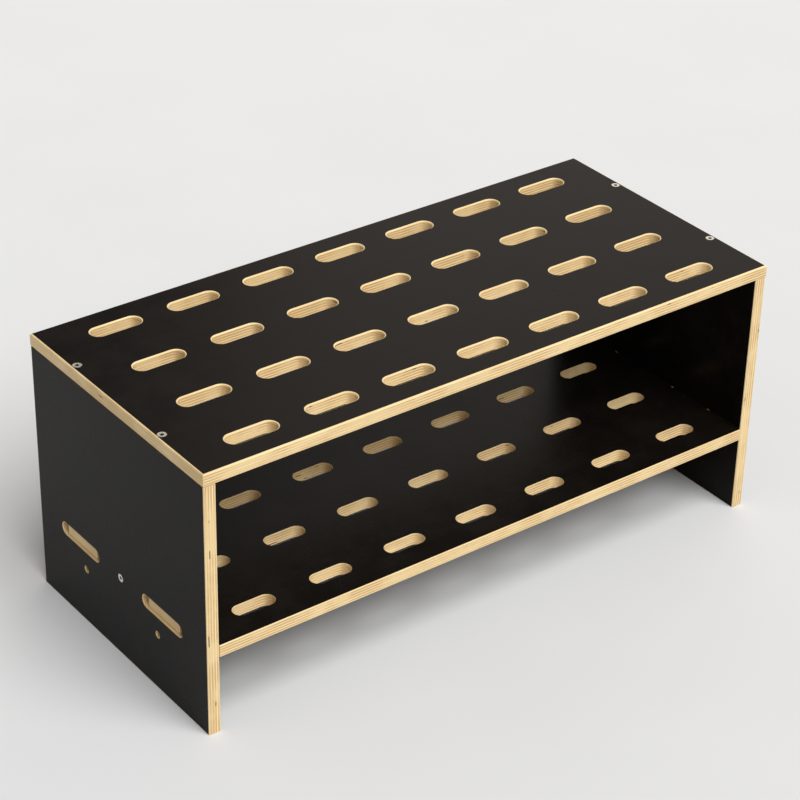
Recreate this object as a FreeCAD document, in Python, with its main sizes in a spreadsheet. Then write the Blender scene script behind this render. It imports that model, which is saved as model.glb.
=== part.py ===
"""Free-standing ski rack of film-faced birch plywood, as a parametric document.

Two end boards carry a slotted top board and a slotted shelf. A ski stands on the floor,
held upright by a slot of the top board and the shorter slot straight below it in the
shelf. Two tenons on each end of the shelf sit in mortises of the end boards, with one
screw between them, and two screws hold each end of the top board down.

Every board is three layers: a plywood core and a phenolic film bonded to each side.

The frame has its origin on the floor under the middle of the rack, X along the length,
Y from front to back and Z up. All sizes are millimetres.
"""
import FreeCAD, Part
import math
import os
import Sketcher
from FreeCAD import Placement, Rotation, Vector

# The driving dimensions: alias, value, meaning.
SIZES = (
    ("rack_length", 750.0, "overall, along X"),
    ("rack_depth", 335.0, "overall, along Y"),
    ("rack_height", 320.0, "floor to the upper face of the top board"),
    ("board_thickness", 15.0, "plywood with both films"),
    ("film_thickness", 0.25, "phenolic film on one side of a board"),
    ("shelf_height", 109.0, "floor to the upper face of the shelf"),
    ("slot_columns", 7, "slots along X"),
    ("slot_rows", 4, "slots along Y"),
    ("column_pitch", 97.5, "slot to slot along X"),
    ("row_pitch", 86.0, "slot to slot along Y"),
    ("slot_width", 19.0, "slot size along Y"),
    ("top_slot_length", 60.0, "slot size along X in the top board"),
    ("shelf_slot_length", 50.0, "slot size along X in the shelf"),
    ("slot_mouth_radius", 1.8, "rounding of the slots' upper rims in the top board"),
    ("slot_rim_radius", 0.5, "rounding of every other rim of a slot"),
    ("top_edge_radius", 2.0, "rounding of the top board's upper edges"),
    ("top_under_radius", 1.2, "rounding of the top board's lower edges"),
    ("shelf_edge_radius", 0.8, "rounding of the shelf's outer edges"),
    ("end_edge_radius", 1.4, "rounding of the end boards' upright edges"),
    ("foot_edge_radius", 0.8, "rounding of the end boards' lower edges"),
    ("joint_spread", 82.0, "middle of the rack to a mortise or a top screw, along Y"),
    ("mortise_length", 76.8, "mortise size along Y, between its round ends"),
    ("mortise_height", 15.4, "mortise size along Z"),
    ("mortise_edge_radius", 0.8, "rounding of a mortise's outer rim"),
    ("tenon_length", 60.0, "tenon size along Y"),
    ("tenon_recess", 2.8, "outer face of an end board to a tenon's end"),
    ("rope_hole_radius", 4.0, "plain hole for a rope handle or a bolt"),
    ("rope_hole_spread", 72.0, "middle of the rack to a rope hole, along Y"),
    ("rope_hole_height", 71.0, "floor to a rope hole's axis"),
    ("rope_hole_edge_radius", 0.5, "rounding of a rope hole's rims"),
    ("screw_length", 50.0, "head to tip"),
    ("screw_radius", 2.5, "outside of the thread"),
    ("screw_head_radius", 4.5, "countersunk head"),
    ("screw_head_rim", 0.25, "straight edge of the head"),
    ("screw_tip_length", 6.0, "pointed end"),
    ("screw_sink", 0.2, "face of the film to the top of a screw head"),
    ("screw_clearance", 0.1, "gap round a screw"),
    ("socket_depth", 2.4, "six-lobed drive"),
    ("socket_core_radius", 1.7, "middle of the drive"),
    ("socket_lobe_radius", 0.6, "one lobe of the drive"),
    ("socket_lobes", 6, "lobes round the drive"),
)

# Sizes worked out from the sheet, as expressions.
CORE_THICKNESS = "(Sizes.board_thickness - 2 * Sizes.film_thickness)"
FILM_THICKNESS = "Sizes.film_thickness"
END_HEIGHT = "(Sizes.rack_height - Sizes.board_thickness)"
SHELF_LENGTH = "(Sizes.rack_length - 2 * Sizes.board_thickness)"
SHELF_BOTTOM = "(Sizes.shelf_height - Sizes.board_thickness)"
SHELF_MIDDLE = "(Sizes.shelf_height - Sizes.board_thickness / 2)"
TENON_REACH = "(Sizes.board_thickness - Sizes.tenon_recess)"
SCREW_X = "(Sizes.rack_length / 2 - Sizes.board_thickness / 2)"
SCREW_HOLE_RADIUS = "(Sizes.screw_radius + Sizes.screw_clearance)"
SCREW_BITE = "(Sizes.screw_length + Sizes.screw_sink + Sizes.screw_clearance - Sizes.board_thickness)"
HEAD_HOLE_RADIUS = ("(Sizes.screw_head_radius + Sizes.screw_clearance"
                    " + Sizes.screw_sink + Sizes.screw_head_rim)")
COUNTERSINK_RADIUS = "(%s - Sizes.film_thickness)" % HEAD_HOLE_RADIUS
BOTH_SIDES = "2"

# Sketcher's numbers for the points of an edge and for the sketch's own axes, and the size that
# a line or a round is first drawn at, before its constraints are solved.
START, END, CENTRE = 1, 2, 3
HORIZONTAL_AXIS, VERTICAL_AXIS = -1, -2
ORIGIN = (-1, 1)
FIRST_DRAWN = 20.0
ROUND_DRAWN = FIRST_DRAWN / 4

# How near counts as the same place, what a cut must take away at least, and how far from a
# board's outline an edge still counts as one of its outer edges.
NEAR = 0.01
LEAST_CUT = 0.01
OUTER_ZONE = 1.0

COUNTERSINK_ANGLE = 90


def fill_sheet(doc):
    """Write the driving dimensions to the spreadsheet, one row each."""
    sheet = doc.addObject("Spreadsheet::Sheet", "Sizes")
    for row, (alias, number, meaning) in enumerate(SIZES, start=1):
        sheet.set("A%d" % row, alias)
        sheet.set("B%d" % row, str(number))
        sheet.set("C%d" % row, meaning)
        sheet.setAlias("B%d" % row, alias)
    doc.recompute()


def new_body(doc, label, x="0", y="0", z="0", turn=(Vector(0, 0, 1), 0)):
    """Body whose place follows the sheet. turn is an (axis, degrees) pair."""
    body = doc.addObject("PartDesign::Body", label)
    body.Label = label
    body.Placement = Placement(Vector(), Rotation(*turn))
    for axis, place in (("x", x), ("y", y), ("z", z)):
        body.setExpression(".Placement.Base." + axis, place)
    return body


def origin_plane(body, role):
    """One of the body's own origin planes, such as XY_Plane."""
    return next(item for item in body.Origin.OriginFeatures if item.Role == role)


def new_sketch(body, name, role, offset="0"):
    """Sketch on one of the body's origin planes, moved along the plane's normal."""
    sketch = body.newObject("Sketcher::SketchObject", "%s_%s" % (body.Name, name))
    sketch.AttachmentSupport = (origin_plane(body, role), [""])
    sketch.MapMode = "FlatFace"
    sketch.setExpression(".AttachmentOffset.Base.z", offset)
    return sketch


def constrain(sketch, kind, *arguments):
    """Add a constraint that has no size."""
    sketch.addConstraint(Sketcher.Constraint(kind, *arguments))


def measure(sketch, name, expression, kind, *arguments):
    """Add a sized constraint and bind it to the sheet."""
    number = sketch.addConstraint(Sketcher.Constraint(kind, *arguments, FIRST_DRAWN))
    sketch.renameConstraint(number, name)
    sketch.setExpression("Constraints." + name, expression)


def centre_point(sketch, x, y):
    """Construction point at x, y. None keeps it on the sketch's own axis."""
    start = Vector(FIRST_DRAWN if x else 0, FIRST_DRAWN if y else 0, 0)
    point = sketch.addGeometry(Part.Point(start), True)
    if x:
        measure(sketch, "centre_x", x, "DistanceX", *ORIGIN, point, START)
    else:
        constrain(sketch, "PointOnObject", point, START, VERTICAL_AXIS)
    if y:
        measure(sketch, "centre_y", y, "DistanceY", *ORIGIN, point, START)
    else:
        constrain(sketch, "PointOnObject", point, START, HORIZONTAL_AXIS)
    return point, start


def draw_rectangle(sketch, width, height, x=None, y=None):
    """Rectangle about a centre point."""
    point, middle = centre_point(sketch, x, y)
    half = FIRST_DRAWN / 2
    corners = [middle + Vector(half * side, half * level, 0)
               for side, level in ((-1, -1), (1, -1), (1, 1), (-1, 1))]
    edges = [sketch.addGeometry(Part.LineSegment(corners[n], corners[(n + 1) % 4]), False)
             for n in range(4)]
    for n, edge in enumerate(edges):
        constrain(sketch, "Coincident", edge, END, edges[(n + 1) % 4], START)
        constrain(sketch, "Horizontal" if n % 2 == 0 else "Vertical", edge)
    constrain(sketch, "Symmetric", edges[0], START, edges[2], START, point, START)
    measure(sketch, "width", width, "DistanceX", edges[0], START, edges[0], END)
    measure(sketch, "height", height, "DistanceY", edges[1], START, edges[1], END)


def draw_slot(sketch, length, width, x=None, y=None):
    """Slot along the sketch's X with full round ends, about a centre point."""
    point, middle = centre_point(sketch, x, y)
    radius = ROUND_DRAWN
    arcs = []
    for side, start_angle in ((1, -math.pi / 2), (-1, math.pi / 2)):
        circle = Part.Circle(middle + Vector(side * radius, 0, 0), Vector(0, 0, 1), radius)
        arc = Part.ArcOfCircle(circle, start_angle, start_angle + math.pi)
        arcs.append(sketch.addGeometry(arc, False))
    right, left = arcs
    for first, second, level in ((right, left, 1), (left, right, -1)):
        ends = [middle + Vector(side * level * radius, level * radius, 0) for side in (1, -1)]
        edge = sketch.addGeometry(Part.LineSegment(*ends), False)
        constrain(sketch, "Tangent", first, END, edge, START)
        constrain(sketch, "Tangent", edge, END, second, START)
        constrain(sketch, "Horizontal", edge)
    constrain(sketch, "Symmetric", left, CENTRE, right, CENTRE, point, START)
    measure(sketch, "centres", "%s - (%s)" % (length, width), "DistanceX", left, CENTRE, right, CENTRE)
    measure(sketch, "radius", "(%s) / 2" % width, "Radius", right)


def draw_circle(sketch, radius, x=None, y=None):
    """Circle about a centre point."""
    point, middle = centre_point(sketch, x, y)
    ring = sketch.addGeometry(Part.Circle(middle, Vector(0, 0, 1), ROUND_DRAWN), False)
    constrain(sketch, "Coincident", ring, CENTRE, point, START)
    measure(sketch, "radius", radius, "Radius", ring)


def draw_profile(sketch, corners):
    """Closed outline through corners, whose (x, y) are expressions or None for zero."""
    count = len(corners)
    first_drawn = []
    for number, (x, y) in enumerate(corners):
        first_drawn.append(Vector(FIRST_DRAWN if x else 0, FIRST_DRAWN * number if y else 0, 0))
    edges = [sketch.addGeometry(Part.LineSegment(first_drawn[n], first_drawn[(n + 1) % count]), False)
             for n in range(count)]
    for n, (x, y) in enumerate(corners):
        constrain(sketch, "Coincident", edges[n - 1], END, edges[n], START)
        if x:
            measure(sketch, "x%d" % n, x, "DistanceX", *ORIGIN, edges[n], START)
        else:
            constrain(sketch, "PointOnObject", edges[n], START, VERTICAL_AXIS)
        if y:
            measure(sketch, "y%d" % n, y, "DistanceY", *ORIGIN, edges[n], START)
        else:
            constrain(sketch, "PointOnObject", edges[n], START, HORIZONTAL_AXIS)


def pad(body, sketch, thickness):
    """Pad a sketch along its normal."""
    feature = body.newObject("PartDesign::Pad", sketch.Name + "_pad")
    feature.Profile = sketch
    feature.setExpression("Length", thickness)
    body.Document.recompute()
    return feature


def must_cut(body, feature, volume_before):
    """Stop if a cut took nothing away, as one that points off the solid does."""
    body.Document.recompute()
    if not body.Shape.Volume < volume_before - LEAST_CUT:
        raise RuntimeError("%s cuts nothing" % feature.Name)
    return feature


def pocket(body, sketch, depth=None, with_normal=True):
    """Cut a sketch out of the body: right through, or to a depth."""
    volume_before = body.Shape.Volume
    feature = body.newObject("PartDesign::Pocket", sketch.Name + "_pocket")
    feature.Profile = sketch
    feature.Reversed = with_normal
    if depth:
        feature.setExpression("Length", depth)
    else:
        feature.Type = "ThroughAll"
    return must_cut(body, feature, volume_before)


def countersink(body, sketch, with_normal):
    """Through hole for a countersunk screw, its wide end at the sketch."""
    volume_before = body.Shape.Volume
    feature = body.newObject("PartDesign::Hole", sketch.Name + "_hole")
    feature.Profile = sketch
    feature.Reversed = with_normal
    feature.DepthType = "ThroughAll"
    feature.setExpression("Diameter", "2 * " + SCREW_HOLE_RADIUS)
    feature.HoleCutType = "Countersink"
    feature.HoleCutCustomValues = True
    feature.setExpression("HoleCutDiameter", "2 * " + COUNTERSINK_RADIUS)
    feature.HoleCutCountersinkAngle = COUNTERSINK_ANGLE
    return must_cut(body, feature, volume_before)


def repeat(body, feature, sketch, columns=None, rows=None):
    """Repeat a feature back across the sketch. columns and rows are (pitch, count)."""
    pattern = body.newObject("PartDesign::LinearPattern", feature.Name + "_pattern")
    pattern.Originals = [feature]
    directions = [(axis, steps) for axis, steps in (("H_Axis", columns), ("V_Axis", rows)) if steps]
    for suffix, (axis, (pitch, count)) in zip(("", "2"), directions):
        setattr(pattern, "Direction" + suffix, (sketch, [axis]))
        setattr(pattern, "Reversed" + suffix, True)
        pattern.setExpression("Length" + suffix, "%s * (%s - 1)" % (pitch, count))
        pattern.setExpression("Occurrences" + suffix, count)
    body.Tip = pattern
    body.Document.recompute()
    return pattern


def round_edges(body, radius, chosen):
    """Round the edges of the body's shape for which chosen(edge) is true."""
    base = body.Tip
    numbers = [n for n, edge in enumerate(base.Shape.Edges, start=1) if chosen(edge)]
    fillet = body.newObject("PartDesign::Fillet", body.Name + "_round")
    fillet.Base = (base, ["Edge%d" % n for n in numbers])
    fillet.setExpression("Radius", radius)
    body.Tip = fillet
    body.Document.recompute()


def lies_level(edge, axis, height):
    """True where the whole edge is at one height along an axis."""
    ends = (getattr(edge.BoundBox, axis + "Min"), getattr(edge.BoundBox, axis + "Max"))
    return all(abs(end - height) < NEAR for end in ends)


def plate(body, thickness, length, depth, inset="0"):
    """Rectangular layer of a level board, set back all round by inset."""
    sketch = new_sketch(body, "outline", "XY_Plane")
    draw_rectangle(sketch, "%s - 2 * %s" % (length, inset), "%s - 2 * %s" % (depth, inset))
    pad(body, sketch, thickness)


def cut_slots(body, slot_length, growth="0"):
    """Cut the grid of ski slots, larger by growth all round."""
    sketch = new_sketch(body, "slot", "XY_Plane")
    length = "(%s + 2 * %s)" % (slot_length, growth)
    width = "(Sizes.slot_width + 2 * %s)" % growth
    last_x = "(Sizes.slot_columns - 1) / 2 * Sizes.column_pitch"
    last_y = "(Sizes.slot_rows - 1) / 2 * Sizes.row_pitch"
    draw_slot(sketch, length, width, last_x, last_y)
    columns = ("Sizes.column_pitch", "Sizes.slot_columns")
    rows = ("Sizes.row_pitch", "Sizes.slot_rows")
    repeat(body, pocket(body, sketch), sketch, columns, rows)


def round_slotted_core(body, half_length, half_depth, outer_radii, rim_radii):
    """Round a slotted core's outline and its slots' rims. Radii are (upper, lower) pairs."""
    top = body.Tip.Shape.BoundBox.ZMax

    def is_outer(edge):
        middle = edge.BoundBox.Center
        past_end = abs(middle.x) > half_length - OUTER_ZONE
        return past_end or abs(middle.y) > half_depth - OUTER_ZONE

    def is_outer_at(height):
        return lambda edge: is_outer(edge) and lies_level(edge, "Z", height)

    def is_rim_at(height):
        return lambda edge: not is_outer(edge) and lies_level(edge, "Z", height)

    for height, outer_radius, rim_radius in zip((top, 0), outer_radii, rim_radii):
        round_edges(body, rim_radius, is_rim_at(height))
        round_edges(body, outer_radius, is_outer_at(height))


def repeat_at_top_screws(body, feature, sketch):
    """Repeat a hole at the four screws that hold the top board."""
    columns = ("2 * " + SCREW_X, BOTH_SIDES)
    rows = ("2 * Sizes.joint_spread", BOTH_SIDES)
    repeat(body, feature, sketch, columns, rows)


def make_top_core(doc):
    """Plywood of the top board."""
    body = new_body(doc, "top_panel", z="%s + Sizes.film_thickness" % END_HEIGHT)
    plate(body, CORE_THICKNESS, "Sizes.rack_length", "Sizes.rack_depth")
    cut_slots(body, "Sizes.top_slot_length")
    round_slotted_core(body, doc.Sizes.rack_length / 2, doc.Sizes.rack_depth / 2,
                       ("Sizes.top_edge_radius", "Sizes.top_under_radius"),
                       ("Sizes.slot_mouth_radius", "Sizes.slot_rim_radius"))
    sketch = new_sketch(body, "screw", "XY_Plane", CORE_THICKNESS)
    draw_circle(sketch, SCREW_HOLE_RADIUS, SCREW_X, "Sizes.joint_spread")
    repeat_at_top_screws(body, countersink(body, sketch, with_normal=False), sketch)
    return body


def make_top_film(doc, label, z, inset, slot_growth, hole_radius):
    """Film on one side of the top board."""
    body = new_body(doc, label, z=z)
    plate(body, FILM_THICKNESS, "Sizes.rack_length", "Sizes.rack_depth", inset)
    cut_slots(body, "Sizes.top_slot_length", slot_growth)
    sketch = new_sketch(body, "screw", "XY_Plane")
    draw_circle(sketch, hole_radius, SCREW_X, "Sizes.joint_spread")
    repeat_at_top_screws(body, pocket(body, sketch), sketch)
    return body


def add_tenons(body, thickness, inset="0"):
    """Two tenons on each end of a shelf layer, set back from their outline by inset."""
    sketch = new_sketch(body, "tenon", "XY_Plane")
    length = "2 * (%s - %s)" % (TENON_REACH, inset)
    width = "Sizes.tenon_length - 2 * %s" % inset
    draw_rectangle(sketch, length, width, SHELF_LENGTH + " / 2", "Sizes.joint_spread")
    columns = (SHELF_LENGTH, BOTH_SIDES)
    rows = ("2 * Sizes.joint_spread", BOTH_SIDES)
    repeat(body, pad(body, sketch, thickness), sketch, columns, rows)


def make_shelf_core(doc):
    """Plywood of the shelf, with its tenons and the end-grain holes of the side screws."""
    body = new_body(doc, "shelf", z="%s + Sizes.film_thickness" % SHELF_BOTTOM)
    plate(body, CORE_THICKNESS, SHELF_LENGTH, "Sizes.rack_depth")
    add_tenons(body, CORE_THICKNESS)
    cut_slots(body, "Sizes.shelf_slot_length")
    round_slotted_core(body, doc.Sizes.rack_length / 2 - doc.Sizes.board_thickness,
                       doc.Sizes.rack_depth / 2,
                       ("Sizes.shelf_edge_radius", "Sizes.shelf_edge_radius"),
                       ("Sizes.slot_rim_radius", "Sizes.slot_rim_radius"))
    sketch = new_sketch(body, "side_screw", "YZ_Plane", SHELF_LENGTH + " / 2")
    draw_circle(sketch, SCREW_HOLE_RADIUS, None, "%s / 2" % CORE_THICKNESS)
    hole = pocket(body, sketch, SCREW_BITE, with_normal=False)
    other_end = body.newObject("PartDesign::Mirrored", hole.Name + "_mirror")
    other_end.Originals = [hole]
    other_end.MirrorPlane = (origin_plane(body, "YZ_Plane"), [""])
    body.Tip = other_end
    doc.recompute()
    return body


def make_shelf_film(doc, label, z):
    """Film on one side of the shelf."""
    body = new_body(doc, label, z=z)
    inset = "Sizes.shelf_edge_radius"
    plate(body, FILM_THICKNESS, SHELF_LENGTH, "Sizes.rack_depth", inset)
    add_tenons(body, FILM_THICKNESS, inset)
    cut_slots(body, "Sizes.shelf_slot_length", "Sizes.slot_rim_radius")
    return body


def upright_plate(body, offset, thickness, side_inset="0", foot_inset="0"):
    """Layer of an end board, drawn across Y and Z at an offset from its outer face."""
    sketch = new_sketch(body, "outline", "YZ_Plane", offset)
    width = "Sizes.rack_depth - 2 * %s" % side_inset
    height = "%s - %s" % (END_HEIGHT, foot_inset)
    middle = "(%s + %s) / 2" % (END_HEIGHT, foot_inset)
    draw_rectangle(sketch, width, height, None, middle)
    pad(body, sketch, thickness)


def cut_mortises_and_holes(body, mortise_growth="0", hole_growth="0"):
    """Cut the two mortises and the two rope holes of an end board's layer."""
    sketch = new_sketch(body, "mortise", "YZ_Plane")
    length = "(Sizes.mortise_length + 2 * %s)" % mortise_growth
    height = "(Sizes.mortise_height + 2 * %s)" % mortise_growth
    draw_slot(sketch, length, height, "Sizes.joint_spread", SHELF_MIDDLE)
    spread = ("2 * Sizes.joint_spread", BOTH_SIDES)
    repeat(body, pocket(body, sketch), sketch, columns=spread)
    sketch = new_sketch(body, "rope_hole", "YZ_Plane")
    radius = "Sizes.rope_hole_radius + %s" % hole_growth
    draw_circle(sketch, radius, "Sizes.rope_hole_spread", "Sizes.rope_hole_height")
    spread = ("2 * Sizes.rope_hole_spread", BOTH_SIDES)
    repeat(body, pocket(body, sketch), sketch, columns=spread)


def round_end_core(body, sizes):
    """Round an end board's core: upright edges, foot, mortise rims and rope holes."""
    outer, inner = body.Tip.Shape.BoundBox.XMin, body.Tip.Shape.BoundBox.XMax
    shelf_middle = sizes.shelf_height - sizes.board_thickness / 2

    def is_upright(edge):
        at_side = abs(abs(edge.BoundBox.Center.y) - sizes.rack_depth / 2) < NEAR
        return at_side and edge.BoundBox.ZLength > NEAR

    def is_foot(edge):
        return lies_level(edge, "Z", 0)

    def is_mortise_rim(edge):
        off_middle = abs(edge.BoundBox.Center.z - shelf_middle)
        return lies_level(edge, "X", outer) and off_middle < sizes.mortise_height

    def is_hole_rim(edge):
        at_hole = abs(edge.BoundBox.Center.z - sizes.rope_hole_height) < NEAR
        return at_hole and (lies_level(edge, "X", outer) or lies_level(edge, "X", inner))

    round_edges(body, "Sizes.end_edge_radius", is_upright)
    round_edges(body, "Sizes.foot_edge_radius", is_foot)
    round_edges(body, "Sizes.mortise_edge_radius", is_mortise_rim)
    round_edges(body, "Sizes.rope_hole_edge_radius", is_hole_rim)


def end_body(doc, label, side):
    """Body of an end board's layer. side is -1 for the left board and 1 for the right."""
    if side < 0:
        return new_body(doc, label, x="-Sizes.rack_length / 2")
    return new_body(doc, label, x="Sizes.rack_length / 2", turn=(Vector(0, 0, 1), 180))


def make_end_core(doc, label, side):
    """Plywood of an end board."""
    body = end_body(doc, label, side)
    upright_plate(body, FILM_THICKNESS, CORE_THICKNESS)
    cut_mortises_and_holes(body)
    round_end_core(body, doc.Sizes)
    sketch = new_sketch(body, "side_screw", "YZ_Plane", FILM_THICKNESS)
    draw_circle(sketch, SCREW_HOLE_RADIUS, None, SHELF_MIDDLE)
    countersink(body, sketch, with_normal=True)
    sketch = new_sketch(body, "top_screw", "XY_Plane", END_HEIGHT)
    draw_circle(sketch, SCREW_HOLE_RADIUS, "Sizes.board_thickness / 2", "Sizes.joint_spread")
    hole = pocket(body, sketch, SCREW_BITE, with_normal=False)
    repeat(body, hole, sketch, rows=("2 * Sizes.joint_spread", BOTH_SIDES))
    return body


def make_outer_film(doc, label, side):
    """Film on the outer face of an end board."""
    body = end_body(doc, label, side)
    upright_plate(body, "0", FILM_THICKNESS, "Sizes.end_edge_radius", "Sizes.foot_edge_radius")
    cut_mortises_and_holes(body, "Sizes.mortise_edge_radius", "Sizes.rope_hole_edge_radius")
    sketch = new_sketch(body, "side_screw", "YZ_Plane")
    draw_circle(sketch, HEAD_HOLE_RADIUS, None, SHELF_MIDDLE)
    pocket(body, sketch)
    return body


def make_inner_film(doc, label, side):
    """Film on the inner face of an end board."""
    body = end_body(doc, label, side)
    offset = "Sizes.board_thickness - Sizes.film_thickness"
    upright_plate(body, offset, FILM_THICKNESS, "Sizes.end_edge_radius", "Sizes.foot_edge_radius")
    cut_mortises_and_holes(body, "0", "Sizes.rope_hole_edge_radius")
    sketch = new_sketch(body, "side_screw", "YZ_Plane")
    draw_circle(sketch, SCREW_HOLE_RADIUS, None, SHELF_MIDDLE)
    pocket(body, sketch)
    return body


def make_screw(doc, label, turn, **place):
    """Countersunk wood screw with a six-lobed drive, its head at the body's origin."""
    body = new_body(doc, label, turn=turn, **place)
    sketch = new_sketch(body, "profile", "XZ_Plane")
    cone = "(Sizes.screw_head_rim + Sizes.screw_head_radius - Sizes.screw_radius)"
    draw_profile(sketch, (
        (None, None),
        ("Sizes.screw_head_radius", None),
        ("Sizes.screw_head_radius", "Sizes.screw_head_rim"),
        ("Sizes.screw_radius", cone),
        ("Sizes.screw_radius", "Sizes.screw_length - Sizes.screw_tip_length"),
        (None, "Sizes.screw_length"),
    ))
    turned = body.newObject("PartDesign::Revolution", label + "_turned")
    turned.Profile = sketch
    turned.ReferenceAxis = (sketch, ["V_Axis"])
    doc.recompute()
    sketch = new_sketch(body, "socket", "XY_Plane")
    draw_circle(sketch, "Sizes.socket_core_radius")
    pocket(body, sketch, "Sizes.socket_depth")
    sketch = new_sketch(body, "lobe", "XY_Plane")
    draw_circle(sketch, "Sizes.socket_lobe_radius", "Sizes.socket_core_radius")
    lobe = pocket(body, sketch, "Sizes.socket_depth")
    lobes = body.newObject("PartDesign::PolarPattern", label + "_lobes")
    lobes.Originals = [lobe]
    lobes.Axis = (sketch, ["N_Axis"])
    lobes.setExpression("Occurrences", "Sizes.socket_lobes")
    body.Tip = lobes
    doc.recompute()
    return body


def make_screws(doc):
    """Four screws down through the top board and one through each end board."""
    screws = []
    down = (Vector(1, 0, 0), 180)
    for side, side_name in ((-1, "left"), (1, "right")):
        for level, level_name in ((-1, "front"), (1, "back")):
            screws.append(make_screw(
                doc, "top_screw_%s_%s" % (level_name, side_name), down,
                x="%d * %s" % (side, SCREW_X),
                y="%d * Sizes.joint_spread" % level,
                z="Sizes.rack_height - Sizes.screw_sink"))
        inward = (Vector(0, 1, 0), -90 * side)
        screws.append(make_screw(
            doc, "side_screw_" + side_name, inward,
            x="%d * (Sizes.rack_length / 2 - Sizes.screw_sink)" % side,
            z=SHELF_MIDDLE))
    return screws


def make_boards(doc):
    """The four boards, each as a core and two films."""
    boards = [
        make_top_core(doc),
        make_top_film(doc, "top_panel_upper_film", "Sizes.rack_height - Sizes.film_thickness",
                      "Sizes.top_edge_radius", "Sizes.slot_mouth_radius", HEAD_HOLE_RADIUS),
        make_top_film(doc, "top_panel_lower_film", END_HEIGHT,
                      "Sizes.top_under_radius", "Sizes.slot_rim_radius", SCREW_HOLE_RADIUS),
        make_shelf_core(doc),
        make_shelf_film(doc, "shelf_upper_film", "Sizes.shelf_height - Sizes.film_thickness"),
        make_shelf_film(doc, "shelf_lower_film", SHELF_BOTTOM),
    ]
    for side, name in ((-1, "left_end"), (1, "right_end")):
        boards.append(make_end_core(doc, name + "_panel", side))
        boards.append(make_outer_film(doc, name + "_outer_film", side))
        boards.append(make_inner_film(doc, name + "_inner_film", side))
    return boards


def check(doc, pieces):
    """Stop if an object failed or a piece isn't one valid solid."""
    failed = [item.Name for item in doc.Objects if {"Invalid", "Error"} & set(item.State)]
    if failed:
        raise RuntimeError("failed objects: %s" % failed)
    for piece in pieces:
        shape = piece.Shape
        if shape.isNull() or not shape.isValid() or len(shape.Solids) != 1:
            raise RuntimeError("%s isn't one valid solid" % piece.Label)


def main():
    doc = FreeCAD.newDocument("ski_rack")
    fill_sheet(doc)
    pieces = make_boards(doc) + make_screws(doc)
    doc.recompute()
    check(doc, pieces)
    os.makedirs("parts", exist_ok=True)
    for piece in pieces:
        piece.Shape.exportStep("parts/%s.step" % piece.Label)
        box = piece.Shape.BoundBox
        print("%-24s %8.1f cm3  x %7.1f %7.1f  y %7.1f %7.1f  z %6.1f %6.1f" % (
            piece.Label, piece.Shape.Volume / 1000,
            box.XMin, box.XMax, box.YMin, box.YMax, box.ZMin, box.ZMax))


main()
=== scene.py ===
"""Ski rack: materials, floor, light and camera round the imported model.

Everything is in metres, in the rack's own frame: the origin is on the floor under the middle
of the rack, X runs along it, Y from front to back and Z up. Patterns in the materials are
worked out in millimetres, and a noise's scale is its number of features per millimetre.
"""
import math

import bpy
from mathutils import Matrix, Vector


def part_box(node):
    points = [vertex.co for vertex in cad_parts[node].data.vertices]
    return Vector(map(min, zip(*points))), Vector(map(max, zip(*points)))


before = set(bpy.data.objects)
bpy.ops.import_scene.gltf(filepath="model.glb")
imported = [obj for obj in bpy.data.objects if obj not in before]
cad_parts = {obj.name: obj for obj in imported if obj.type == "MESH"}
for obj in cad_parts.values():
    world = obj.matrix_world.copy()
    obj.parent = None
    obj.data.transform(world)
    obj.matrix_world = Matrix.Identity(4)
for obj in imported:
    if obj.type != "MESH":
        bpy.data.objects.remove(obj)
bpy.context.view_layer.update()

MM = 0.001

# Film-faced plywood: nine crossed veneers between two phenolic films.
BOARD = 15 * MM
FILM = 0.25 * MM
VENEERS = 9

ALONG = (1, 0, 0)
ACROSS = (0, 1, 0)
UP = (0, 0, 1)


class Shader:
    """A node tree with a short way to add and join nodes."""

    def __init__(self, tree):
        self.tree = tree

    def add(self, kind, inputs=None, **settings):
        """New node. inputs maps a socket's name or number to a value or an output socket."""
        node = self.tree.nodes.new(kind)
        for name, value in settings.items():
            setattr(node, name, value)
        for key, value in (inputs or {}).items():
            self.feed(node.inputs[key], value)
        return node

    def feed(self, socket, value):
        """Join an output to a socket, or set the socket's own value."""
        if isinstance(value, bpy.types.NodeSocket):
            self.tree.links.new(value, socket)
        else:
            socket.default_value = value

    def math(self, operation, first, second=0.0):
        """Output of a Math node."""
        return self.add("ShaderNodeMath", {0: first, 1: second}, operation=operation).outputs[0]

    def vector(self, operation, first, second):
        """Output of a Vector Math node."""
        node = self.add("ShaderNodeVectorMath", {0: first, 1: second}, operation=operation)
        return node.outputs["Value" if operation == "DOT_PRODUCT" else "Vector"]

    def scaled(self, vector, factor):
        """A vector times a number."""
        return self.vector("MULTIPLY", vector, (factor, factor, factor))

    def ramp(self, value, span, low=0.0, high=1.0):
        """Smooth step from low to high as value crosses span."""
        node = self.add("ShaderNodeMapRange",
                        {"Value": value, "From Min": span[0], "From Max": span[1],
                         "To Min": low, "To Max": high}, interpolation_type="SMOOTHSTEP")
        return node.outputs["Result"]

    def mix(self, factor, first, second):
        """Colour between first and second. A Mix node's colour sockets are 6 and 7."""
        node = self.add("ShaderNodeMix", data_type="RGBA")
        self.feed(node.inputs["Factor"], factor)
        self.feed(node.inputs[6], first)
        self.feed(node.inputs[7], second)
        return node.outputs[2]

    def mix_numbers(self, factor, first, second):
        """Number between first and second. A Mix node's number sockets are 2 and 3."""
        node = self.add("ShaderNodeMix", {2: first, 3: second}, data_type="FLOAT")
        self.feed(node.inputs["Factor"], factor)
        return node.outputs[0]

    def noise(self, position, scale, detail=2.0, roughness=0.5):
        """Noise between 0 and 1, with the scale in features per unit of position."""
        inputs = {"Vector": position, "Scale": scale, "Detail": detail, "Roughness": roughness}
        return self.add("ShaderNodeTexNoise", inputs).outputs["Fac"]


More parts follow.
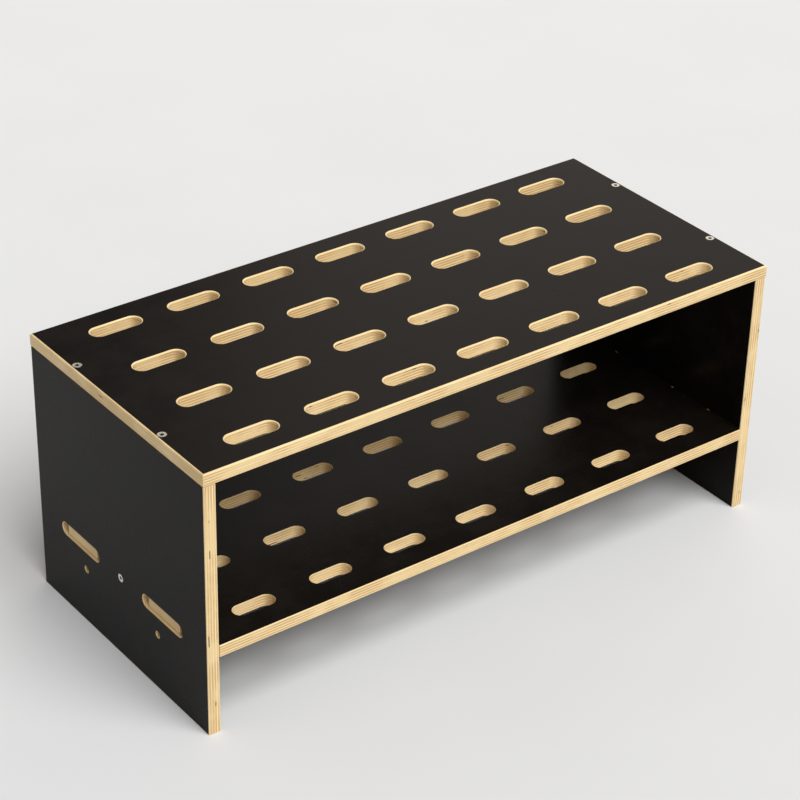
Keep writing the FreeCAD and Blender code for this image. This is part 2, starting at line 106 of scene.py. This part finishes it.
def rgb(red, green, blue):
    """Colour socket value from linear red, green and blue."""
    return (red, green, blue, 1.0)


def new_material(name):
    """Empty material with a Principled surface. Returns the material, its shader and the surface."""
    material = bpy.data.materials.new(name)
    material.use_nodes = True
    tree = material.node_tree
    tree.nodes.clear()
    shader = Shader(tree)
    surface = shader.add("ShaderNodeBsdfPrincipled")
    output = shader.add("ShaderNodeOutputMaterial")
    tree.links.new(surface.outputs["BSDF"], output.inputs["Surface"])
    return material, shader, surface


def position_mm(shader):
    """Place on the object in millimetres, in the rack's frame."""
    coordinates = shader.add("ShaderNodeTexCoord")
    return shader.scaled(coordinates.outputs["Object"], 1 / MM)


def shift(shader, place, step, seed):
    """Place moved seed times by step, so that no two boards show the same pattern."""
    return shader.vector("ADD", place, tuple(seed * part for part in step))


def roughen(shader, surface, height, strength, distance):
    """Bump the surface by a height pattern that is distance deep, in metres."""
    bump = shader.add("ShaderNodeBump", {"Height": height, "Strength": strength, "Distance": distance})
    shader.feed(surface.inputs["Normal"], bump.outputs["Normal"])


# Plywood. Every veneer's grain crosses its neighbours', so a cut edge shows long grain and end
# grain by turns.
LONG_GRAIN = rgb(0.84, 0.665, 0.37)
LONG_GRAIN_DARK = rgb(0.74, 0.55, 0.275)
END_GRAIN = rgb(0.57, 0.37, 0.165)
END_GRAIN_PORE = rgb(0.42, 0.255, 0.10)
HONEY = rgb(0.62, 0.41, 0.18)
GLUE = rgb(0.34, 0.19, 0.07)
# Near-black painted shade inside the gaps in the cross veneers.
VOID_SHADE = rgb(0.05, 0.024, 0.008)

WOOD_STEP = (173.0, 59.0, 311.0)
# How far a veneer wanders through the board, in millimetres.
WANDER = 0.9
WANDER_SCALE = 0.012
# Cosine of the angle between grain and surface normal, from long grain to end grain.
END_FACING = (0.25, 0.9)
STREAK_SCALE = 0.9
STREAK_SQUEEZE = 0.05
STREAK_SPAN = (0.35, 0.75)
PORE_SCALE = 2.2
PORE_SPAN = (0.45, 0.75)
# End grain takes from a quarter to all of its own colour along the edge.
DRIFT_SCALE = 0.03
DRIFT_SPAN = (0.35, 0.65)
DRIFT_LEAST = 0.25
# Step in the noise from one veneer to the next, for the broad tone and the gaps.
VENEER_STEP = 7.31
TONE_SCALE = 0.010
TONE_SPAN = (0.40, 0.75)
TONE_MOST = 0.45
# Distances from a glue joint, as a share of a veneer.
GLUE_SPAN = (0.03, 0.12)
GLUE_MOST = 0.14
INNER_SPAN = (0.10, 0.25)
GAP_SCALE = 0.055
GAP_SPAN = (0.79, 0.82)


def veneer_layers(shader, place, shifted, stack, start):
    """Veneer at a place: its number, 1 if it is a cross veneer, and the distance to its joint.

    The distance is a share of the veneer's thickness, from 0 to a half.
    """
    wander = shader.noise(shifted, WANDER_SCALE, 2.0)
    wander = shader.math("MULTIPLY", shader.math("SUBTRACT", wander, 0.5), WANDER)
    depth = shader.math("SUBTRACT", shader.vector("DOT_PRODUCT", place, stack), start / MM)
    depth = shader.math("ADD", depth, wander)
    veneer = shader.math("DIVIDE", depth, (BOARD - 2 * FILM) / MM / VENEERS)
    number = shader.math("FLOOR", veneer)
    # The wander can take the number below 0, so an even number is added before the remainder.
    is_cross = shader.math("MODULO", shader.math("ADD", number, 20.0), 2.0)
    from_middle = shader.math("SUBTRACT", shader.math("SUBTRACT", veneer, number), 0.5)
    to_joint = shader.math("SUBTRACT", 0.5, shader.math("ABSOLUTE", from_middle))
    return number, is_cross, to_joint


def end_grain_share(shader, is_cross, face_grain, cross_grain):
    """How far the veneer's own grain runs out through the surface, from 0 to 1."""
    normal = shader.add("ShaderNodeNewGeometry").outputs["Normal"]
    end_face = shader.math("ABSOLUTE", shader.vector("DOT_PRODUCT", normal, face_grain))
    end_cross = shader.math("ABSOLUTE", shader.vector("DOT_PRODUCT", normal, cross_grain))
    return shader.ramp(shader.mix_numbers(is_cross, end_face, end_cross), END_FACING)


def streaks(shader, shifted, grain):
    """Noise drawn out along the grain's axis."""
    squeeze = tuple(STREAK_SQUEEZE if part else 1.0 for part in grain)
    return shader.noise(shader.vector("MULTIPLY", shifted, squeeze), STREAK_SCALE, 3.0, 0.6)


def plywood(name, stack, start, face_grain, cross_grain, seed):
    """Bare edges of one plywood board.

    stack is the axis through the veneers and start where the first one begins, in metres.
    face_grain and cross_grain are the axes along the grain of the first and second veneers.
    """
    material, shader, surface = new_material(name)
    place = position_mm(shader)
    shifted = shift(shader, place, WOOD_STEP, seed)
    number, is_cross, to_joint = veneer_layers(shader, place, shifted, stack, start)
    endness = end_grain_share(shader, is_cross, face_grain, cross_grain)

    along_face = streaks(shader, shifted, face_grain)
    along_cross = streaks(shader, shifted, cross_grain)
    streak = shader.mix_numbers(is_cross, along_face, along_cross)
    long_grain = shader.mix(shader.ramp(streak, STREAK_SPAN), LONG_GRAIN, LONG_GRAIN_DARK)
    pores = shader.noise(shifted, PORE_SCALE, 2.0, 0.7)
    end_grain = shader.mix(shader.ramp(pores, PORE_SPAN), END_GRAIN, END_GRAIN_PORE)
    drift = shader.ramp(shader.noise(shifted, DRIFT_SCALE, 3.0), DRIFT_SPAN, DRIFT_LEAST)
    wood = shader.mix(shader.math("MULTIPLY", endness, drift), long_grain, end_grain)

    # Broad tone from veneer to veneer and along the edge.
    step = shader.add("ShaderNodeCombineXYZ", {0: shader.math("MULTIPLY", number, VENEER_STEP)}).outputs[0]
    tone = shader.noise(shader.vector("ADD", shader.scaled(shifted, TONE_SCALE), step), 1.0, 2.0)
    wood = shader.mix(shader.ramp(tone, TONE_SPAN, 0.0, TONE_MOST), wood, HONEY)

    # Glue lines, and a few gaps inside the cross veneers, painted near-black as the shade down inside
    # them.
    glue = shader.ramp(to_joint, GLUE_SPAN, GLUE_MOST, 0.0)
    wood = shader.mix(glue, wood, GLUE)
    # The gap mask both lowers the bump and paints the shade inside the gap.
    gap_and_shade = shader.noise(shader.vector("ADD", shader.scaled(shifted, GAP_SCALE), step), 1.0, 0.0)
    gap_and_shade = shader.math("MULTIPLY", shader.ramp(gap_and_shade, GAP_SPAN), shader.ramp(to_joint, INNER_SPAN))
    gap_and_shade = shader.math("MULTIPLY", gap_and_shade, is_cross)
    shader.feed(surface.inputs["Base Color"], shader.mix(gap_and_shade, wood, VOID_SHADE))

    shader.feed(surface.inputs["Roughness"], shader.ramp(pores, (0.2, 0.8), 0.5, 0.68))
    surface.inputs["Specular IOR Level"].default_value = 0.35
    grain_height = shader.math("MULTIPLY", pores, 0.25)
    glue_depth = shader.math("MULTIPLY", glue, 0.3)
    height = shader.math("SUBTRACT", shader.math("SUBTRACT", grain_height, glue_depth), gap_and_shade)
    roughen(shader, surface, height, 0.35, 0.3 * MM)
    return material


FILM_DARK = rgb(0.0048, 0.0036, 0.0030)
FILM_LIGHT = rgb(0.0082, 0.0062, 0.0050)
SCUFF = rgb(0.05, 0.045, 0.04)

FILM_STEP = (91.0, 37.0, 53.0)
CLOUD_SCALE = 0.018
SPECK_SCALE = 0.9
RIPPLE_SCALE = 0.12
GRIT_SCALE = 1.6
SCUFF_SPAN = (0.72, 0.80)
SCUFF_MOST = 0.25


def phenolic_film(name, seed):
    """Brown-black film with a soft gloss, faint mottling and the odd fine scuff."""
    material, shader, surface = new_material(name)
    shifted = shift(shader, position_mm(shader), FILM_STEP, seed)
    cloud = shader.noise(shifted, CLOUD_SCALE, 4.0, 0.6)
    speck = shader.noise(shifted, SPECK_SCALE, 3.0, 0.7)
    colour = shader.mix(shader.ramp(cloud, (0.3, 0.75)), FILM_DARK, FILM_LIGHT)
    scuff = shader.ramp(speck, SCUFF_SPAN, 0.0, SCUFF_MOST)
    shader.feed(surface.inputs["Base Color"], shader.mix(scuff, colour, SCUFF))
    surface.inputs["Specular IOR Level"].default_value = 0.055
    rough = shader.math("ADD", shader.ramp(cloud, (0.25, 0.75), 0.20, 0.30),
                        shader.ramp(speck, (0.4, 0.8), 0.0, 0.06))
    shader.feed(surface.inputs["Roughness"], rough)
    ripple = shader.math("MULTIPLY", shader.noise(shifted, RIPPLE_SCALE, 2.0), 0.6)
    grit = shader.math("MULTIPLY", shader.noise(shifted, GRIT_SCALE, 2.0), 0.12)
    roughen(shader, surface, shader.math("ADD", ripple, grit), 0.25, 0.12 * MM)
    return material


PLATING_DULL = rgb(0.62, 0.62, 0.60)
PLATING = rgb(0.78, 0.78, 0.75)
# Near-black painted shade down in a screw's drive.
DRIVE_SHADE_COLOUR = rgb(0.03, 0.03, 0.03)
# How deep below the face of its head the painted shade in a screw's drive begins and ends, in millimetres,
# and how dark it gets.
DRIVE_SHADE_SPAN = (0.05, 0.25)
DRIVE_SHADE_MOST = 0.93


def screw_steel(name, outward, face):
    """Bright zinc plating with a fine turned finish, and painted shade down in the drive.

    outward is the way the head looks, and face is its height along that way, in metres.
    """
    material, shader, surface = new_material(name)
    place = position_mm(shader)
    fine = shader.noise(place, 3.0, 3.0, 0.6)
    plating = shader.mix(shader.ramp(fine, (0.3, 0.7)), PLATING_DULL, PLATING)
    depth = shader.math("SUBTRACT", face / MM, shader.vector("DOT_PRODUCT", place, outward))
    # Painted shade in the drive recess, darker the deeper it lies below the head's face.
    drive_shade = shader.ramp(depth, DRIVE_SHADE_SPAN, 0.0, DRIVE_SHADE_MOST)
    shader.feed(surface.inputs["Base Color"], shader.mix(drive_shade, plating, DRIVE_SHADE_COLOUR))
    surface.inputs["Metallic"].default_value = 1.0
    shader.feed(surface.inputs["Roughness"], shader.ramp(fine, (0.3, 0.7), 0.32, 0.48))
    roughen(shader, surface, fine, 0.2, 0.05 * MM)
    return material


def paint(node, material):
    """Give a CAD node one material."""
    mesh_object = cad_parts[node]
    for material_slot in mesh_object.material_slots:
        material_slot.material = material


def paint_boards():
    """Materials of the four boards: bare plywood, and film on both faces."""
    boards = (
        ("top_panel", ("top_panel_upper_film", "top_panel_lower_film"), UP, ALONG, ACROSS),
        ("shelf", ("shelf_upper_film", "shelf_lower_film"), UP, ALONG, ACROSS),
        ("left_end_panel", ("left_end_outer_film", "left_end_inner_film"), ALONG, UP, ACROSS),
        ("right_end_panel", ("right_end_outer_film", "right_end_inner_film"), ALONG, UP, ACROSS),
    )
    for seed, (core, films, stack, face_grain, cross_grain) in enumerate(boards, start=1):
        start = Vector(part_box(core)[0]).dot(Vector(stack))
        paint(core, plywood(core + "_plywood", stack, start, face_grain, cross_grain, seed))
        for number, film in enumerate(films):
            film_seed = seed + number * len(boards)
            paint(film, phenolic_film(film + "_surface", film_seed))


def paint_screws():
    """Steel for each set of screws that looks one way."""
    sets = (("top_screw", (0, 0, 1)), ("side_screw_left", (-1, 0, 0)), ("side_screw_right", (1, 0, 0)))
    for prefix, outward in sets:
        nodes = [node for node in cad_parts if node.startswith(prefix)]
        face = max(Vector(corner).dot(Vector(outward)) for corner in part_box(nodes[0]))
        steel = screw_steel(prefix + "_steel", outward, face)
        for node in nodes:
            paint(node, steel)


FLOOR_HALF = 20.0
FLOOR_DARK = rgb(0.655, 0.655, 0.655)
FLOOR_LIGHT = rgb(0.665, 0.665, 0.665)
FLOOR_SCALE = 0.004


def make_floor():
    """Plain pale floor."""
    corners = [(-FLOOR_HALF, -FLOOR_HALF, 0), (FLOOR_HALF, -FLOOR_HALF, 0),
               (FLOOR_HALF, FLOOR_HALF, 0), (-FLOOR_HALF, FLOOR_HALF, 0)]
    mesh = bpy.data.meshes.new("floor")
    mesh.from_pydata(corners, [], [(0, 1, 2, 3)])
    floor = bpy.data.objects.new("floor", mesh)
    bpy.context.scene.collection.objects.link(floor)
    material, shader, surface = new_material("floor_paint")
    mottle = shader.noise(position_mm(shader), FLOOR_SCALE, 2.0)
    colour = shader.mix(shader.ramp(mottle, (0.3, 0.7)), FLOOR_DARK, FLOOR_LIGHT)
    shader.feed(surface.inputs["Base Color"], colour)
    surface.inputs["Roughness"].default_value = 0.9
    surface.inputs["Specular IOR Level"].default_value = 0.1
    mesh.materials.append(material)


def facing(azimuth, elevation):
    """Direction out from the rack. Azimuth 0 is in front and 90 to the left, in degrees."""
    turn = math.radians(azimuth)
    lift = math.radians(elevation)
    return Vector((-math.sin(turn) * math.cos(lift), -math.cos(turn) * math.cos(lift), math.sin(lift)))


# Height above the floor of the point that the softbox faces.
AIM_HEIGHT = 0.15


def add_softbox(name, azimuth, elevation, distance, size, power, colour):
    """Rectangular area light that faces the rack."""
    data = bpy.data.lights.new(name, "AREA")
    data.shape = "RECTANGLE"
    data.size, data.size_y = size
    data.energy = power
    data.color = colour
    towards = facing(azimuth, elevation)
    light = bpy.data.objects.new(name, data)
    light.rotation_euler = towards.to_track_quat("Z", "Y").to_euler()
    light.location = Vector((0, 0, AIM_HEIGHT)) + towards * distance
    light.visible_camera = False
    bpy.context.scene.collection.objects.link(light)


def add_broad_sun(name, azimuth, elevation, spread, strength):
    """Even light from one side. spread is how wide its source looks, in degrees."""
    data = bpy.data.lights.new(name, "SUN")
    data.angle = math.radians(spread)
    data.energy = strength
    light = bpy.data.objects.new(name, data)
    light.rotation_euler = facing(azimuth, elevation).to_track_quat("Z", "Y").to_euler()
    bpy.context.scene.collection.objects.link(light)


SURROUND_STRENGTH = 0.26


def light_studio():
    """Broad light from high in front, a panel behind for the film's sheen, and a dim surround."""
    world = bpy.data.worlds.new("surround")
    world.use_nodes = True
    background = world.node_tree.nodes["Background"]
    background.inputs["Color"].default_value = rgb(1.0, 1.0, 1.0)
    background.inputs["Strength"].default_value = SURROUND_STRENGTH
    bpy.context.scene.world = world
    add_broad_sun("key", azimuth=-5, elevation=54, spread=50, strength=3.5)
    add_softbox("sheen_panel", azimuth=234, elevation=30, distance=6.0, size=(4.4, 4.0), power=56,
                colour=(1.0, 0.90, 0.80))


# The camera looks down at the left front corner. CAMERA_OFFSET is how far right and up of the
# camera's axis the rack's origin lies, and CAMERA_DISTANCE how far in front of the camera.
CAMERA_AZIMUTH = 37.434
CAMERA_ELEVATION = 31.336
CAMERA_ROLL = 1.328
CAMERA_LENS = 113.07
CAMERA_OFFSET = (3.72 * MM, -162.8 * MM)
CAMERA_DISTANCE = 2896.9 * MM


def make_camera():
    """Camera at the viewing angle, rolled a little, without shift or depth of field."""
    back = facing(CAMERA_AZIMUTH, CAMERA_ELEVATION)
    right = Vector(UP).cross(back).normalized()
    up = back.cross(right)
    roll = math.radians(CAMERA_ROLL)
    side = right * math.cos(roll) + up * math.sin(roll)
    top = up * math.cos(roll) - right * math.sin(roll)
    data = bpy.data.cameras.new("camera")
    data.lens = CAMERA_LENS
    data.clip_start = 0.1
    data.clip_end = 50
    camera = bpy.data.objects.new("camera", data)
    turned = Matrix((side, top, back)).transposed()
    origin = Vector((*CAMERA_OFFSET, -CAMERA_DISTANCE))
    camera.matrix_world = Matrix.Translation(-(turned @ origin)) @ turned.to_4x4()
    bpy.context.scene.collection.objects.link(camera)
    bpy.context.scene.camera = camera


make_camera()
paint_boards()
paint_screws()
make_floor()
light_studio()
bpy.context.scene.view_settings.view_transform = "Standard"
